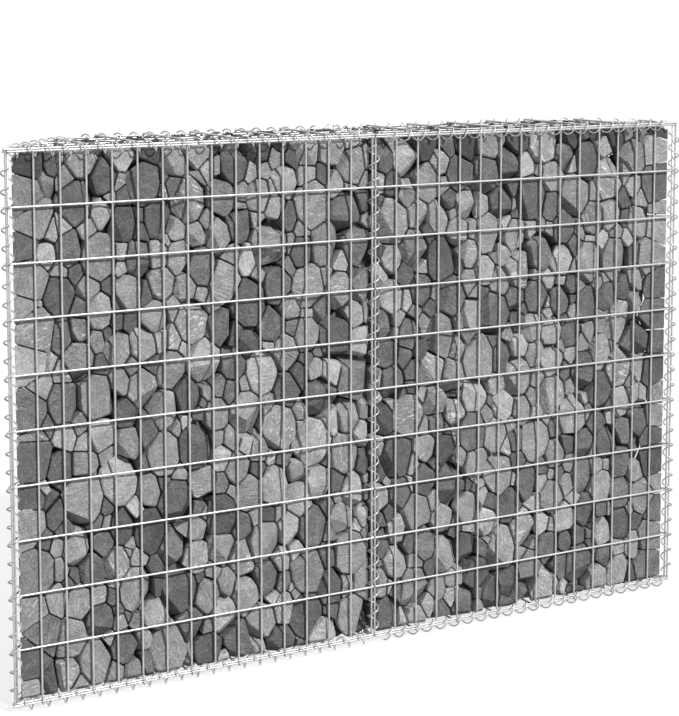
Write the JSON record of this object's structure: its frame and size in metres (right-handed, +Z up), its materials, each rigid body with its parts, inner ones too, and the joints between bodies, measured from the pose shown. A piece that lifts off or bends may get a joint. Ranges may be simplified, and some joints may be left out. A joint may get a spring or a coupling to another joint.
{
  "type": "gabion raised bed",
  "caption": "Long narrow gabion bed with a trapezium plan: welded mesh walls laced by wire spirals at every edge, filled with broken stone.",
  "frame": {"origin": "on the ground, under the middle of the bounding box", "axes": "+X along the front to the right as seen from the front, +Y from front to back, +Z up"},
  "size_m": [1.5128, 0.2288, 1.0288],
  "materials": {
    "mesh_wire": "galvanised",
    "spiral_wire": "galvanised",
    "stone": "rough broken stone"
  },
  "bodies": {
    "root": {"back_base_spiral_left": "spiral_wire", "back_base_spiral_right": "spiral_wire", "back_corner_spiral_left": "spiral_wire", "back_corner_spiral_right": "spiral_wire", "back_joint_spiral": "spiral_wire", "back_panel_left": "mesh_wire", "back_panel_right": "mesh_wire", "back_top_spiral_left": "spiral_wire", "back_top_spiral_right": "spiral_wire", "base_joint_spiral": "spiral_wire", "base_panel_left": "mesh_wire", "base_panel_right": "mesh_wire", "end_base_spiral_left": "spiral_wire", "end_base_spiral_right": "spiral_wire", "end_panel_left": "mesh_wire", "end_panel_right": "mesh_wire", "end_top_spiral_left": "spiral_wire", "end_top_spiral_right": "spiral_wire", "front_base_spiral_left": "spiral_wire", "front_base_spiral_right": "spiral_wire", "front_corner_spiral_left": "spiral_wire", "front_corner_spiral_right": "spiral_wire", "front_joint_spiral": "spiral_wire", "front_panel_left": "mesh_wire", "front_panel_right": "mesh_wire", "front_top_spiral_left": "spiral_wire", "front_top_spiral_right": "spiral_wire", "lid_joint_spiral": "spiral_wire", "lid_panel_left": "mesh_wire", "lid_panel_right": "mesh_wire", "stone_fill": "stone"}
  },
  "joints": []
}
